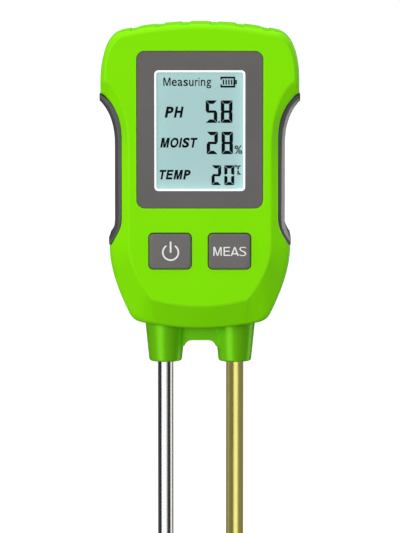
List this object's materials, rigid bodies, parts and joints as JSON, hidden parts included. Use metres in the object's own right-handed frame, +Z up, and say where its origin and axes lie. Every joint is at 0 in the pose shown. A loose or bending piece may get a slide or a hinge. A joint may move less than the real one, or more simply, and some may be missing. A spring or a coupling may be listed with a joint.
{
  "type": "soil moisture meter",
  "caption": "Hand-held digital soil tester: waisted green case with side grips, framed display and keys, on steel and brass ground probes.",
  "frame": {"origin": "on the ground plane, midway between the two probe tips", "axes": "+Z up along the probes, display faces -Y, +X to the right of the display"},
  "size_m": [0.0624, 0.034, 0.3072],
  "materials": {
    "case_green": "satin moulded ABS, lime green",
    "grip_rubber": "soft-touch elastomer, dark grey",
    "bezel_grey": "fine matt panel, warm grey",
    "window_clear": "clear hard-coated window",
    "frame_white": "white moulded light frame",
    "lcd_glass": "pale blue-grey reflective display glass",
    "light_white": "white diffuser",
    "strip_rubber": "layered conductive elastomer",
    "board_green": "glass-epoxy board with solder mask",
    "chip_black": "moulded epoxy package",
    "component_mix": "ceramic and tantalum chip parts",
    "switch_black": "moulded switch body",
    "plunger_white": "smooth plunger",
    "button_grey": "fine matt key cap, warm grey",
    "probe_steel": "polished stainless steel",
    "probe_brass": "polished brass",
    "sensor_epoxy": "epoxy bead with enamelled leads",
    "seal_rubber": "nitrile ring",
    "terminal_brass": "plated ring terminal",
    "nut_steel": "zinc-plated nut",
    "wire_blue": "stranded wire in vinyl",
    "header_white": "moulded wire header",
    "battery_wrap": "steel can with plain printed sleeve",
    "terminal_steel": "nickel-plated snap",
    "snap_black": "soft vinyl cap",
    "wire_red": "stranded wire in vinyl, one red and one black",
    "foam_grey": "closed-cell foam pad",
    "screw_steel": "zinc-plated cross-recess screw"
  },
  "bodies": {
    "meter": {"front_case": "case_green", "rear_case": "case_green", "left_grip": "grip_rubber", "right_grip": "grip_rubber", "display_bezel": "bezel_grey", "display_window": "window_clear", "lcd_frame": "frame_white", "lcd_glass": "lcd_glass", "backlight_panel": "light_white", "lcd_connector_strips": "strip_rubber", "main_board": "board_green", "controller_chip": "chip_black", "board_components": "component_mix", "power_switch": "switch_black", "measure_switch": "switch_black", "probe_holder": "case_green", "steel_probe": "probe_steel", "brass_probe": "probe_brass", "temperature_sensor": "sensor_epoxy", "probe_seals": "seal_rubber", "ring_terminals": "terminal_brass", "probe_nuts": "nut_steel", "probe_wires": "wire_blue", "wire_header": "header_white", "battery": "battery_wrap", "battery_terminals": "terminal_steel", "snap_connector": "snap_black", "snap_contacts": "terminal_steel", "battery_leads": "wire_red", "case_screws": "screw_steel", "board_screws": "screw_steel"},
    "power_key": {"power_button": "button_grey"},
    "measure_key": {"measure_button": "button_grey"},
    "power_switch_stem": {"power_plunger": "plunger_white"},
    "measure_switch_stem": {"measure_plunger": "plunger_white"},
    "door": {"battery_door": "case_green", "battery_foam": "foam_grey"}
  },
  "joints": [
    {"name": "power_press", "type": "slide", "parent": "meter", "child": "power_key", "axis": [0, 1, 0], "range_m": [0, 0.0004], "stiffness_N_per_m": 60, "springref_m": -0.002},
    {"name": "measure_press", "type": "slide", "parent": "meter", "child": "measure_key", "axis": [0, 1, 0], "range_m": [0, 0.0004], "stiffness_N_per_m": 60, "springref_m": -0.002},
    {"name": "power_stem_press", "type": "slide", "parent": "meter", "child": "power_switch_stem", "axis": [0, 1, 0], "range_m": [0, 0.0004]},
    {"name": "measure_stem_press", "type": "slide", "parent": "meter", "child": "measure_switch_stem", "axis": [0, 1, 0], "range_m": [0, 0.0004]},
    {"name": "door_lift_off", "type": "slide", "parent": "meter", "child": "door", "axis": [0, 1, 0], "range_m": [0, 0.025]}
  ],
  "couplings": [
    {"joint": "power_stem_press", "follows": "power_press", "ratio": 1},
    {"joint": "measure_stem_press", "follows": "measure_press", "ratio": 1}
  ]
}
